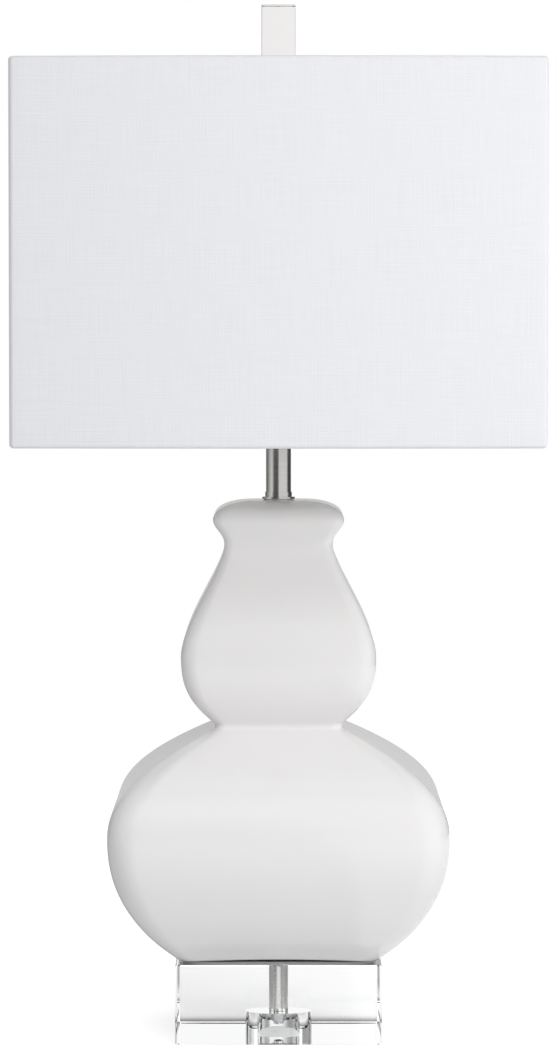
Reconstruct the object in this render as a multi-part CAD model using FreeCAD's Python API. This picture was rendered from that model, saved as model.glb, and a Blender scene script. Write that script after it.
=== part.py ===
import FreeCAD, Part
import math
import os
from FreeCAD import Vector

os.makedirs("parts", exist_ok=True)

# A table lamp: a square double gourd of glazed ceramic on a clear crystal block,
# with a harp, a square linen shade and a crystal finial.
# Millimetres, +Z up, front towards -Y, origin under the middle of the block.

# Fits
slip_fit = 0.08
loose_fit = 0.3
glue_line = 0.1
thread_fit = 0.05
cut_overrun = 1.0

# Crystal block and what clamps it
block_side = 139.5
block_height = 54.0
block_chamfer = 0.8
recess_diameter = 45.5
recess_depth = 16.0
sleeve_diameter = 12.3
pipe_diameter = 10.2
pipe_bore = 7.0
pipe_below_nut = 2.2
washer_diameter = 28.0
rubber_washer_thickness = 1.5
steel_washer_thickness = 1.5
nut_across_flats = 14.3
nut_height = 4.8
nut_corner_chamfer = 0.6
gasket_thickness = 1.5
gasket_inset = 3.0
gasket_hole_diameter = 38.0

# Gourd body: half widths, and the height of each station above the one below it
wall = 5.5
corner_share = 0.18
cavity_chamfer_share = 0.14
foot_half = 67.7
foot_flare = 51.2
foot_fullness = 52.0
foot_edge_setback = 2.2
belly_half = 114.6
belly_above_foot = 85.8
belly_fullness_below = 19.4
belly_fullness_above = 18.0
shoulder_lean = 64.1
shoulder_fullness = 72.5
crease_half = 41.1
crease_above_belly = 71.5
crease_setback = 5.0
corner_ease = 0.6
bulb_flare = 48.5
bulb_fullness_below = 24.7
bulb_half = 66.1
bulb_above_crease = 49.0
bulb_fullness_to_crease = 16.6
bulb_fullness_above = 22.3
neck_half = 36.9
neck_above_bulb = 75.2
neck_fullness_below = 15.2
neck_fullness_above = 7.1
lip_half = 44.6
lip_above_neck = 16.6
lip_fullness_below = 5.8
lip_fullness_above = 7.8
top_land_half = 16.0
land_above_lip = 12.6
top_land_fullness = 16.0
top_hole_diameter = 16.0
foot_hole_diameter = 11.0

# Cord outlet low in the back of the gourd
outlet_station = 0.36
outlet_hole_diameter = 11.6
grommet_flange_diameter = 15.4
grommet_flange_thickness = 1.8
grommet_inner_flange_thickness = 1.5
grommet_inner_flange_diameter = 13.6
grommet_edge_chamfer = 0.6
grommet_bore = 7.6
pipe_slot_width = 6.0
pipe_slot_height = 24.0
pipe_slot_rise = 24.0

# Neck stack over the gourd
bush_flange_diameter = 20.0
bush_flange_thickness = 0.6
bush_depth = 5.4
check_ring_diameter = 22.6
check_ring_thickness = 1.2
neck_diameter = 17.2
neck_wall = 1.2
neck_end_thickness = 1.6
neck_length = 44.0
neck_collar_diameter = 18.4
neck_collar_height = 3.5

# Harp saddle and harp
saddle_thickness = 2.0
saddle_width = 12.0
saddle_bend_radius = 8.0
saddle_shoulder_rise = 10.0
saddle_tab_width = 4.8
saddle_tab_height = 9.0
tab_clearance = 0.3
harp_leg_spacing = 57.0
harp_width = 114.0
harp_height = 227.5
harp_wire_diameter = 3.6
harp_foot_diameter = 6.4
harp_foot_height = 10.0
harp_leg_straight = 18.0
harp_lower_radius = 60.0
harp_side_radius = 220.0
harp_top_radius = 45.0
harp_hub_diameter = 12.7
harp_hub_height = 4.0
harp_wire_in_hub = 2.1
ferrule_wall = 0.8
ferrule_height = 12.0
ferrule_rim_width = 0.4
ferrule_rim_height = 1.6

# Swivel stud at the top of the harp
stud_pin_diameter = 5.0
stud_head_diameter = 8.0
stud_head_height = 1.5
stud_disc_diameter = 19.0
stud_disc_thickness = 2.0
stud_thread_diameter = 6.35
stud_thread_length = 13.5
stud_tip_chamfer = 0.6

# Lamp socket for a screw bulb
cap_collar_diameter = 14.6
cap_collar_height = 7.4
cap_bowl_height = 10.6
cap_bowl_bulge = 0.7
cap_lip_height = 6.0
cap_wall = 0.7
pipe_in_cap = 5.9
shell_diameter = 33.2
shell_wall = 0.6
shell_height = 44.0
liner_wall = 0.6
liner_end_gap = 1.0
core_rise = 2.0
core_height = 16.0
screw_shell_bore = 26.4
screw_shell_wall = 0.4
screw_shell_depth = 22.6
screw_shell_floor_hole = 14.0
screw_shell_turn_up = 2.5
contact_diameter = 8.6
contact_thickness = 0.6
contact_rivet_diameter = 3.0
contact_rise = 1.2
contact_rivet_depth = 3.0
terminal_head_diameter = 6.0
terminal_head_height = 2.0
terminal_shank_diameter = 3.2
terminal_shank_length = 4.5
terminal_pocket_depth = 2.5
terminal_pocket_clearance = 1.0
set_screw_diameter = 3.0
set_screw_length = 4.4
switch_rise = 8.0
switch_shaft_diameter = 4.0
switch_shaft_seat = 9.0
switch_hole_clearance = 1.0
knob_gap = 1.6
knob_diameter = 10.4
knob_length = 14.0
knob_stop_thickness = 2.0
knob_stop_diameter = 7.2
knob_bore_depth = 10.0
shaft_in_knob = 7.0
knob_flutes = 12
knob_flute_diameter = 1.6
knob_flute_depth = 0.4
knob_edge_chamfer = 0.6

# Shade
shade_half = 180.0
shade_side_radius = 2508.0
shade_corner_radius = 7.0
shade_height = 253.0
shade_recess = 13.7
linen_thickness = 0.7
lining_thickness = 0.8
ring_wire_diameter = 3.0
spider_wire_diameter = 2.8
hem_depth = 8.0
hem_notch_clearance = 0.5
fitter_washer_diameter = 25.0
fitter_hole_diameter = 11.0
fitter_washer_thickness = 1.5

# Finial
finial_total = 59.6
finial_boss_diameter = 12.0
finial_boss_height = 5.0
finial_waist_diameter = 8.6
finial_boss_taper = 2.0
finial_waist_height = 2.0
finial_cup_diameter = 18.0
finial_cup_height = 4.6
finial_base_height = 17.6
finial_crystal_side = 23.2
finial_crystal_chamfer = 1.2


# Heights that follow from the sizes above
recess_ceiling = recess_depth
rubber_washer_bottom = recess_ceiling - rubber_washer_thickness
steel_washer_bottom = rubber_washer_bottom - steel_washer_thickness
bottom_nut_bottom = steel_washer_bottom - nut_height
pipe_bottom = bottom_nut_bottom - pipe_below_nut
foot_z = block_height + gasket_thickness
belly_z = foot_z + belly_above_foot
crease_z = belly_z + crease_above_belly
bulb_z = crease_z + bulb_above_crease
waist_z = bulb_z + neck_above_bulb
lip_z = waist_z + lip_above_neck
gourd_top = lip_z + land_above_lip
check_ring_z = gourd_top + bush_flange_thickness
neck_bottom = check_ring_z + check_ring_thickness
saddle_z = neck_bottom + neck_length
saddle_nut_z = saddle_z + saddle_thickness
cap_z = saddle_nut_z + nut_height
bowl_z = cap_z + cap_collar_height
cap_lip_z = bowl_z + cap_bowl_height
socket_shell_z = cap_lip_z + cap_wall
pipe_top = cap_z + pipe_in_cap
socket_top = socket_shell_z + shell_height
ear_shoulder_z = saddle_z + saddle_shoulder_rise
hub_top = saddle_nut_z + harp_height
fitter_z = hub_top + stud_disc_thickness
finial_z = fitter_z + fitter_washer_thickness
shade_top = finial_z + shade_recess
shade_bottom = shade_top - shade_height
crystal_z = finial_z + finial_base_height
pipe_clear_bore = pipe_diameter + 2 * slip_fit
set_screw_z = cap_z + cap_collar_height / 2
drill_reach = 2 * wall
liner_diameter = shell_diameter - 2 * shell_wall - 2 * slip_fit
core_radius = liner_diameter / 2 - liner_wall - slip_fit
core_z = socket_shell_z + core_rise
core_top = core_z + core_height
screw_shell_top = core_top + screw_shell_depth
switch_z = core_z + switch_rise
switch_seat_y = core_radius - switch_shaft_seat
terminal_z = core_z + core_height / 2
ring_wire_inset = linen_thickness + lining_thickness + 2 * glue_line + ring_wire_diameter / 2
hem_inset = 2 * linen_thickness + lining_thickness + ring_wire_diameter + 3 * glue_line
top_ring_z = shade_top - linen_thickness - glue_line - ring_wire_diameter / 2
bottom_ring_z = shade_bottom + linen_thickness + glue_line + ring_wire_diameter / 2
AXIS = Vector(0, 0, 1)
ORIGIN = Vector(0, 0, 0)


def save(name, *solids):
    """One file for one named piece, or for a set of like pieces."""
    shape = solids[0] if len(solids) == 1 else Part.makeCompound(list(solids))
    if not shape.isValid():
        raise ValueError(name + " is not a sound solid")
    shape.exportStep("parts/" + name + ".step")


def disc(diameter, z_from, z_to):
    return Part.makeCylinder(diameter / 2, z_to - z_from, Vector(0, 0, z_from), AXIS)


def ring(outer, inner, z_from, z_to):
    return disc(outer, z_from, z_to).cut(disc(inner, z_from, z_to))


def box(x_from, x_to, y_from, y_to, z_from, z_to):
    size = (x_to - x_from, y_to - y_from, z_to - z_from)
    return Part.makeBox(*size, Vector(x_from, y_from, z_from))


def turned(outline):
    """A piece turned on the lamp's axis from (radius, height) corners."""
    points = [Vector(radius, 0, z) for radius, z in outline]
    solid = Part.Face(Part.makePolygon(points + points[:1])).revolve(ORIGIN, AXIS, 360)
    return solid if solid.Volume > 0 else solid.reversed()


def mirrored(shape):
    """The same piece on the other side of the lamp."""
    return shape.mirror(ORIGIN, Vector(1, 0, 0))


def bowed_arcs(half, side_radius, corner):
    """A square whose sides bow out and whose corners are round, as eight tangent arcs.
    Each arc is (centre x, centre y, radius, first angle, last angle)."""
    reach = side_radius - half
    centre = (math.sqrt(2 * (side_radius - corner) ** 2 - reach ** 2) - reach) / 2
    spread = math.atan2(centre, centre + reach)
    arcs = []
    for quarter in range(4):
        turn = quarter * math.pi / 2
        back_x = -reach * math.cos(turn)
        back_y = -reach * math.sin(turn)
        arcs.append((back_x, back_y, side_radius, turn - spread, turn + spread))
        diagonal = turn + math.pi / 4
        corner_x = math.sqrt(2) * centre * math.cos(diagonal)
        corner_y = math.sqrt(2) * centre * math.sin(diagonal)
        arcs.append((corner_x, corner_y, corner, turn + spread, turn + math.pi / 2 - spread))
    return arcs


def bowed_square(half, side_radius, corner, z, inset=0.0):
    """The same square as a flat outline at one height, drawn in by inset."""
    edges = []
    for x, y, radius, first, last in bowed_arcs(half - inset, side_radius - inset, corner - inset):
        points = []
        for angle in (first, (first + last) / 2, last):
            points.append(Vector(x + radius * math.cos(angle), y + radius * math.sin(angle), z))
        edges.append(Part.Arc(*points).toShape())
    return Part.Wire(edges)


def prism(half, side_radius, corner, z_from, z_to, inset=0.0):
    outline = bowed_square(half, side_radius, corner, z_from, inset)
    return Part.Face(outline).extrude(Vector(0, 0, z_to - z_from))


def hex_nut(z_from, hole):
    radius = nut_across_flats / math.sqrt(3)
    corners = []
    for corner in range(7):
        angle = math.radians(60 * corner)
        corners.append(Vector(radius * math.cos(angle), radius * math.sin(angle), z_from))
    body = Part.Face(Part.makePolygon(corners)).extrude(Vector(0, 0, nut_height))
    cone_radius = radius - nut_corner_chamfer
    slope = nut_corner_chamfer
    envelope = turned([
        (0, z_from),
        (cone_radius, z_from),
        (radius, z_from + slope),
        (radius, z_from + nut_height - slope),
        (cone_radius, z_from + nut_height),
        (0, z_from + nut_height),
    ])
    return body.common(envelope).cut(disc(hole, z_from, z_from + nut_height))


# Gourd profile: stations joined by smooth curves, each with a handle at either end
def station(half, z):
    return Vector(half, 0, z)


def heading(lean, length):
    """A handle that leans out from upright by so many degrees."""
    angle = math.radians(lean)
    return Vector(length * math.sin(angle), 0, length * math.cos(angle))


def curve(start, start_handle, end_handle, end):
    span = Part.BezierCurve()
    span.setPoles([start, start + start_handle, end - end_handle, end])
    return span


def eased(corner, lean_in, lean_out, setback):
    """A short curve that rounds the corner between two leaning lines."""
    before = corner - heading(lean_in, setback)
    after = corner + heading(lean_out, setback)
    pull = corner_ease * setback
    return curve(before, heading(lean_in, pull), heading(lean_out, pull), after)


foot = station(foot_half, foot_z)
belly = station(belly_half, belly_z)
crease = station(crease_half, crease_z)
bulb = station(bulb_half, bulb_z)
neck = station(neck_half, waist_z)
lip = station(lip_half, lip_z)
land = station(top_land_half, gourd_top)
foot_edge = eased(foot, 90, foot_flare, foot_edge_setback)
valley = eased(crease, -shoulder_lean, bulb_flare, crease_setback)
lower_belly = curve(foot_edge.EndPoint, heading(foot_flare, foot_fullness),
                    heading(0, belly_fullness_below), belly)
shoulder = curve(belly, heading(0, belly_fullness_above),
                 heading(-shoulder_lean, shoulder_fullness), valley.StartPoint)
upper_rise = curve(valley.EndPoint, heading(bulb_flare, bulb_fullness_below),
                   heading(0, bulb_fullness_to_crease), bulb)
waist = curve(bulb, heading(0, bulb_fullness_above), heading(0, neck_fullness_below), neck)
lip_flare = curve(neck, heading(0, neck_fullness_above), heading(0, lip_fullness_below), lip)
crown = curve(lip, heading(0, lip_fullness_above), heading(-90, top_land_fullness), land)

# Each stretch of the outside with its number of rows, then the same for the cavity
outside_rows = [
    (foot_edge, 2),
    (lower_belly, 12),
    (shoulder, 15),
    (valley, 4),
    (upper_rise, 6),
    (waist, 9),
    (lip_flare, 4),
    (crown, 7),
]
cavity_rows = [
    (lower_belly, 4),
    (shoulder, 4),
    (valley, 1),
    (upper_rise, 3),
    (waist, 3),
    (lip_flare, 2),
]


def point_and_way_in(span, where):
    """A point on the outside and the direction square to the wall, into the ceramic."""
    along = span.tangent(where)[0]
    return span.value(where), Vector(-along.z, 0, along.x)


def face_between(low, high):
    """The face that joins an edge of one outline to the same edge of the next."""
    if low.Curve.TypeId != "Part::GeomLine":
        return Part.makeRuledSurface(low, high)
    corners = [low.firstVertex().Point, low.lastVertex().Point]
    corners += [high.lastVertex().Point, high.firstVertex().Point]
    return Part.Face(Part.makePolygon(corners + corners[:1]))


def loft_rows(stretches, outline, depth=0.0):
    """A body with one outline at the end of every row, moved in square to the wall."""
    outlines = []
    for span, rows in stretches:
        for row in range(1 if outlines else 0, rows + 1):
            point, way_in = point_and_way_in(span, row / rows)
            point = point + way_in * depth
            outlines.append(outline(point.x, point.z))
    faces = [Part.Face(outlines[0]), Part.Face(outlines[-1])]
    for below, above in zip(outlines, outlines[1:]):
        faces += [face_between(*pair) for pair in zip(below.OrderedEdges, above.OrderedEdges)]
    shell = Part.makeShell(faces)
    shell.sewShape()
    solid = Part.makeSolid(shell)
    return solid if solid.Volume > 0 else solid.reversed()


def gourd_outline(half, z):
    """Four flat sides joined by four round corners."""
    corner = corner_share * half
    flat = half - corner
    middle = flat + corner / math.sqrt(2)
    edges = []
    for quarter in range(4):
        turn = FreeCAD.Rotation(AXIS, 90 * quarter)
        points = []
        for x, y in ((half, -flat), (half, flat), (middle, middle), (flat, half)):
            spot = turn.multVec(Vector(x, y, 0))
            points.append(Vector(spot.x, spot.y, z))
        edges.append(Part.LineSegment(points[0], points[1]).toShape())
        edges.append(Part.Arc(*points[1:]).toShape())
    return Part.Wire(edges)


def cavity_outline(half, z):
    """A square with its corners cut off, which nobody sees."""
    flat = half * (1 - cavity_chamfer_share)
    points = []
    for quarter in range(4):
        turn = FreeCAD.Rotation(AXIS, 90 * quarter)
        for x, y in ((half, -flat), (half, flat)):
            spot = turn.multVec(Vector(x, y, 0))
            points.append(Vector(spot.x, spot.y, z))
    return Part.makePolygon(points + points[:1])


# The cord leaves the back square to the wall, low on the belly
outlet_point, outlet_way_in = point_and_way_in(lower_belly, outlet_station)
outlet_centre = Vector(0, outlet_point.x, outlet_point.z)
outlet_axis = Vector(0, -outlet_way_in.x, -outlet_way_in.z)


def along_outlet(diameter, back_from, back_to):
    """A round bar on the outlet's axis, measured outwards from the face of the wall."""
    start = outlet_centre + outlet_axis * back_from
    return Part.makeCylinder(diameter / 2, back_to - back_from, start, outlet_axis)


def make_gourd_body():
    outside = loft_rows(outside_rows, gourd_outline)
    cavity = loft_rows(cavity_rows, cavity_outline, wall)
    top_hole = disc(top_hole_diameter, neck.z, gourd_top)
    foot_hole = disc(foot_hole_diameter, foot_z, belly.z)
    outlet = along_outlet(outlet_hole_diameter, -drill_reach, drill_reach)
    return outside.cut([cavity, top_hole, foot_hole, outlet])


def make_grommet():
    flange = along_outlet(grommet_flange_diameter, 0, grommet_flange_thickness)
    outwards = sorted(flange.Edges, key=lambda edge: edge.CenterOfMass.dot(outlet_axis))
    flange = flange.makeChamfer(grommet_edge_chamfer, outwards[-1:])
    barrel = along_outlet(outlet_hole_diameter - 2 * slip_fit, -wall, grommet_flange_thickness / 2)
    lip_end = -wall - grommet_inner_flange_thickness
    inner_flange = along_outlet(grommet_inner_flange_diameter, lip_end, -wall)
    bore = along_outlet(grommet_bore, -drill_reach, drill_reach)
    return flange.fuse([barrel, inner_flange]).cut([bore, gourd_body])


def make_crystal_block():
    half = block_side / 2
    block = box(-half, half, -half, half, 0, block_height)
    block = block.makeChamfer(block_chamfer, block.Edges)
    rod_hole = disc(sleeve_diameter + 2 * slip_fit, 0, block_height)
    return block.cut([rod_hole, disc(recess_diameter, 0, recess_depth)])


def make_pipe():
    """Threaded through the whole lamp, with a slot where the cord turns off to the back."""
    pipe = ring(pipe_diameter, pipe_bore, pipe_bottom, pipe_top)
    slot_z = foot_z + pipe_slot_rise
    half = pipe_slot_width / 2
    slot = box(-half, half, 0, pipe_diameter, slot_z, slot_z + pipe_slot_height)
    ends = []
    for z in (slot_z, slot_z + pipe_slot_height):
        ends.append(Part.makeCylinder(half, pipe_diameter, Vector(0, 0, z), Vector(0, 1, 0)))
    return pipe.cut(slot.fuse(ends))


def make_gasket():
    outline = gourd_outline(foot_half - gasket_inset, block_height)
    pad = Part.Face(outline).extrude(Vector(0, 0, gasket_thickness))
    return pad.cut(disc(gasket_hole_diameter, block_height, foot_z))


def make_bush():
    """Centres the pipe in the rough hole of the ceramic; its flange hides under the ring."""
    flange = disc(bush_flange_diameter, gourd_top, check_ring_z)
    body = disc(top_hole_diameter - 2 * loose_fit, gourd_top - bush_depth, gourd_top)
    return flange.fuse(body).cut(disc(pipe_clear_bore, gourd_top - bush_depth, check_ring_z))


def make_neck_tube():
    collar = disc(neck_collar_diameter, neck_bottom, neck_bottom + neck_collar_height)
    tube = disc(neck_diameter, neck_bottom, saddle_z).fuse(collar)
    hollow = disc(neck_diameter - 2 * neck_wall, neck_bottom + neck_end_thickness,
                  saddle_z - neck_end_thickness)
    return tube.cut([hollow, disc(pipe_clear_bore, neck_bottom, saddle_z)])


def make_saddle():
    """A strip bent up at both ends, each end narrowed to a tab that enters a harp foot."""
    leg = harp_leg_spacing / 2
    outer = leg + saddle_thickness / 2
    inner = leg - saddle_thickness / 2
    bend_x = leg - saddle_bend_radius
    bend_z = saddle_z + saddle_thickness / 2 + saddle_bend_radius
    outer_radius = saddle_bend_radius + saddle_thickness / 2
    inner_radius = saddle_bend_radius - saddle_thickness / 2
    tip_z = ear_shoulder_z + saddle_tab_height
    slant = math.sqrt(0.5)

    def at(x, z):
        return Vector(x, -saddle_width / 2, z)

    def bend(radius, ends):
        middle = at(bend_x + slant * radius, bend_z - slant * radius)
        return Part.Arc(ends[0], middle, ends[1]).toShape()

    under = [at(0, saddle_z), at(bend_x, saddle_z)]
    out = [at(outer, bend_z), at(outer, tip_z), at(inner, tip_z), at(inner, bend_z)]
    over = [at(bend_x, saddle_z + saddle_thickness), at(0, saddle_z + saddle_thickness)]
    edges = [
        Part.makeLine(*under),
        bend(outer_radius, (under[1], out[0])),
        Part.makeLine(out[0], out[1]),
        Part.makeLine(out[1], out[2]),
        Part.makeLine(out[2], out[3]),
        bend(inner_radius, (out[3], over[0])),
        Part.makeLine(*over),
        Part.makeLine(over[1], under[0]),
    ]
    strip = Part.Face(Part.Wire(edges)).extrude(Vector(0, saddle_width, 0))
    for side in (-1, 1):
        near = side * saddle_tab_width / 2
        far = side * saddle_width
        low, high = min(near, far), max(near, far)
        strip = strip.cut(box(0, 2 * leg, low, high, ear_shoulder_z, tip_z + cut_overrun))
    both = strip.fuse(mirrored(strip)).removeSplitter()
    return both.cut(disc(pipe_clear_bore, saddle_z, cap_z))


def harp_leg_path():
    """Up from the foot, outwards, back to upright at the widest point, over to the hub."""
    leg = harp_leg_spacing / 2
    widest = (harp_width - harp_wire_diameter) / 2
    wire_z = hub_top - harp_hub_height / 2
    start_z = ear_shoulder_z + harp_foot_height - harp_wire_diameter / 2
    bend_z = ear_shoulder_z + harp_foot_height + harp_leg_straight
    side_z = wire_z - harp_top_radius
    both = harp_lower_radius + harp_side_radius
    across = both - (widest - leg)
    rise = side_z - bend_z
    run = math.sqrt(across ** 2 + rise ** 2 - both ** 2)
    lean = math.atan2(rise, across) - math.atan2(run, both)

    def lower(angle):
        x = leg + harp_lower_radius * (1 - math.cos(angle))
        return Vector(x, 0, bend_z + harp_lower_radius * math.sin(angle))

    def upper(angle):
        x = widest - harp_side_radius * (1 - math.cos(angle))
        return Vector(x, 0, side_z - harp_side_radius * math.sin(angle))

    def top(angle):
        x = widest - harp_top_radius * (1 - math.cos(angle))
        return Vector(x, 0, side_z + harp_top_radius * math.sin(angle))

    quarter = math.pi / 2
    wire_end = Vector(harp_hub_diameter / 2 - harp_wire_in_hub, 0, wire_z)
    return Part.Wire([
        Part.makeLine(Vector(leg, 0, start_z), lower(0)),
        Part.Arc(lower(0), lower(lean / 2), lower(lean)).toShape(),
        Part.makeLine(lower(lean), upper(lean)),
        Part.Arc(upper(lean), upper(lean / 2), upper(0)).toShape(),
        Part.Arc(top(0), top(quarter / 2), top(quarter)).toShape(),
        Part.makeLine(top(quarter), wire_end),
    ])


def make_harp():
    path = harp_leg_path()
    start = path.OrderedVertexes[0].Point
    wire_end = Part.Face(Part.Wire(Part.makeCircle(harp_wire_diameter / 2, start, AXIS)))
    leg_wire = path.makePipe(wire_end)
    leg = harp_leg_spacing / 2
    harp_foot = disc(harp_foot_diameter, ear_shoulder_z, ear_shoulder_z + harp_foot_height)
    harp_foot = harp_foot.translated(Vector(leg, 0, 0))
    slot_back = leg + saddle_thickness / 2 + tab_clearance
    slot_half = saddle_tab_width / 2 + tab_clearance
    slot_top = ear_shoulder_z + saddle_tab_height + tab_clearance
    slot = box(0, slot_back, -slot_half, slot_half, ear_shoulder_z, slot_top)
    side = leg_wire.fuse(harp_foot).cut(slot)
    hub = disc(harp_hub_diameter, hub_top - harp_hub_height, hub_top)
    pin_hole = disc(stud_pin_diameter + 2 * slip_fit, hub_top - harp_hub_height, hub_top)
    return hub.fuse([side, mirrored(side)]).cut(pin_hole)


def make_ferrule():
    bore = harp_foot_diameter + 2 * loose_fit
    outer = bore + 2 * ferrule_wall
    rim = outer + 2 * ferrule_rim_width
    sleeve = ring(outer, bore, ear_shoulder_z, ear_shoulder_z + ferrule_height)
    sleeve = sleeve.fuse(ring(rim, bore, ear_shoulder_z, ear_shoulder_z + ferrule_rim_height))
    return sleeve.translated(Vector(harp_leg_spacing / 2, 0, 0))


def make_stud():
    """Riveted through the hub so that it turns there; the shade stands on its disc."""
    rivet_top = hub_top - harp_hub_height - slip_fit
    rivet = disc(stud_head_diameter, rivet_top - stud_head_height, rivet_top)
    pin = disc(stud_pin_diameter, rivet_top, hub_top)
    plate = disc(stud_disc_diameter, hub_top, fitter_z)
    thread = disc(stud_thread_diameter, fitter_z, fitter_z + stud_thread_length)
    upwards = sorted(thread.Edges, key=lambda edge: edge.CenterOfMass.z)
    thread = thread.makeChamfer(stud_tip_chamfer, upwards[-1:])
    return plate.fuse([rivet, pin, thread])


def set_screw_bar(diameter, back_from, back_to):
    """A round bar on the set screw's axis, measured towards the back."""
    start = Vector(0, back_from, set_screw_z)
    return Part.makeCylinder(diameter / 2, back_to - back_from, start, Vector(0, 1, 0))


def make_socket_cap():
    inner = pipe_diameter / 2 + thread_fit
    collar = cap_collar_diameter / 2
    lip = shell_diameter / 2 + slip_fit + cap_wall
    lip_top = cap_lip_z + cap_lip_height
    across = lip - collar
    belly_r = collar + cap_bowl_bulge * across
    belly_z = bowl_z + (1 - cap_bowl_bulge) * cap_bowl_height
    cap = turned([
        (inner, cap_z),
        (collar, cap_z),
        (collar, bowl_z),
        (belly_r, belly_z),
        (lip, cap_lip_z),
        (lip, lip_top),
        (lip - cap_wall, lip_top),
        (lip - cap_wall, cap_lip_z),
        (belly_r - cap_wall, belly_z + cap_wall),
        (collar, bowl_z + cap_wall),
        (inner, bowl_z + cap_wall),
    ])
    return cap.cut(set_screw_bar(set_screw_diameter + 2 * thread_fit, 0, collar + cut_overrun))


def make_set_screw():
    """Headless, with its point on the pipe."""
    point = pipe_diameter / 2 + thread_fit
    return set_screw_bar(set_screw_diameter, point, point + set_screw_length)


def switch_bar(diameter, front_from, front_to):
    """A round bar on the switch's axis, measured towards the front."""
    start = Vector(0, -front_from, switch_z)
    return Part.makeCylinder(diameter / 2, front_to - front_from, start, Vector(0, -1, 0))


def make_socket_tube(outer, thickness, z_to):
    tube = ring(outer, outer - 2 * thickness, socket_shell_z, z_to)
    return tube.cut(switch_bar(switch_shaft_diameter + 2 * switch_hole_clearance, 0, outer))


def terminal_screw(grow=0.0):
    """Head and shank along +X, with the head sunk in the side of the core."""
    outwards = Vector(1, 0, 0)
    seat = Vector(core_radius - terminal_pocket_depth, 0, terminal_z)
    head_radius = terminal_head_diameter / 2
    shank_radius = terminal_shank_diameter / 2 + grow
    head = Part.makeCylinder(head_radius, terminal_head_height, seat, outwards)
    start = seat - outwards * terminal_shank_length
    shank = Part.makeCylinder(shank_radius, terminal_shank_length, start, outwards)
    return shank if grow else head.fuse(shank)


def make_socket_core():
    core = disc(2 * core_radius, core_z, core_top)
    pocket_half = terminal_head_diameter / 2 + terminal_pocket_clearance
    seat = core_radius - terminal_pocket_depth
    pocket = box(seat, 2 * core_radius, -pocket_half, pocket_half,
                 terminal_z - pocket_half, terminal_z + pocket_half)
    drilled = terminal_screw(thread_fit)
    shaft_bore = switch_bar(switch_shaft_diameter + 2 * slip_fit, switch_seat_y, 2 * core_radius)
    rivet_bore = contact_rivet_diameter + 2 * slip_fit
    rivet_hole = disc(rivet_bore, core_top - contact_rivet_depth, core_top)
    wire_hole = disc(pipe_bore, core_z, switch_z - switch_shaft_diameter)
    cuts = [pocket, mirrored(pocket), drilled, mirrored(drilled)]
    return core.cut(cuts + [shaft_bore, rivet_hole, wire_hole])


def make_screw_shell():
    """Thin shell whose floor turns up at 45 degrees, clear of the contact blade."""
    bore = screw_shell_bore / 2
    outer = bore + screw_shell_wall
    floor_top = core_top + screw_shell_wall
    flat = bore - screw_shell_turn_up
    return turned([
        (screw_shell_floor_hole / 2, core_top),
        (flat + screw_shell_wall, core_top),
        (outer, core_top + screw_shell_turn_up),
        (outer, screw_shell_top),
        (bore, screw_shell_top),
        (bore, floor_top + screw_shell_turn_up),
        (flat, floor_top),
        (screw_shell_floor_hole / 2, floor_top),
    ])


def make_contact():
    blade_z = core_top + contact_rise
    rivet = disc(contact_rivet_diameter, core_top - contact_rivet_depth, blade_z)
    return rivet.fuse(disc(contact_diameter, blade_z, blade_z + contact_thickness))


def make_knob():
    """Fluted for the fingers, with a plain stop disc next to the socket."""
    inner = shell_diameter / 2 + knob_gap
    face = inner + knob_length
    grip = switch_bar(knob_diameter, inner + knob_stop_thickness, face)
    forwards = sorted(grip.Edges, key=lambda edge: edge.CenterOfMass.y)
    grip = grip.makeChamfer(knob_edge_chamfer, forwards[:1])
    flute_centre = (knob_diameter + knob_flute_diameter) / 2 - knob_flute_depth
    flutes = []
    for flute in range(knob_flutes):
        angle = 2 * math.pi * flute / knob_flutes
        shift = Vector(math.cos(angle), 0, math.sin(angle)) * flute_centre
        flutes.append(switch_bar(knob_flute_diameter, inner, face).translated(shift))
    stop = switch_bar(knob_stop_diameter, inner, inner + knob_stop_thickness)
    bore = switch_bar(switch_shaft_diameter + 2 * thread_fit, inner, inner + knob_bore_depth)
    return grip.cut(flutes).fuse(stop).cut(bore)


def make_switch_shaft():
    knob_inner = shell_diameter / 2 + knob_gap
    return switch_bar(switch_shaft_diameter, switch_seat_y + slip_fit, knob_inner + shaft_in_knob)


def shade_layer(inset, thickness, z_from, z_to):
    sizes = (shade_half, shade_side_radius, shade_corner_radius)
    outside = prism(*sizes, z_from, z_to, inset)
    return outside.cut(prism(*sizes, z_from, z_to, inset + thickness))


def ring_wire(z):
    """Round wire that follows the shade just inside its lining."""
    sizes = (shade_half, shade_side_radius, shade_corner_radius)
    path = bowed_square(*sizes, z, ring_wire_inset)
    start = path.OrderedEdges[0]
    along = start.tangentAt(start.FirstParameter)
    circle = Part.makeCircle(ring_wire_diameter / 2, start.valueAt(start.FirstParameter), along)
    return path.makePipe(Part.Face(Part.Wire(circle)))


def around(shape):
    """The same shape on all four sides of the shade."""
    return [shape.rotated(ORIGIN, AXIS, 90 * quarter) for quarter in range(4)]


def make_top_frame():
    wire_radius = spider_wire_diameter / 2
    washer_z = fitter_z + fitter_washer_thickness / 2
    inner = Vector(fitter_washer_diameter / 2 - wire_radius, 0, washer_z)
    outer = Vector(shade_half - ring_wire_inset, 0, top_ring_z)
    arm = Part.makeCylinder(wire_radius, inner.distanceToPoint(outer), inner, outer - inner)
    washer = ring(fitter_washer_diameter, fitter_hole_diameter, fitter_z, finial_z)
    return washer.fuse(around(arm)).fuse(ring_wire(top_ring_z))


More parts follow.
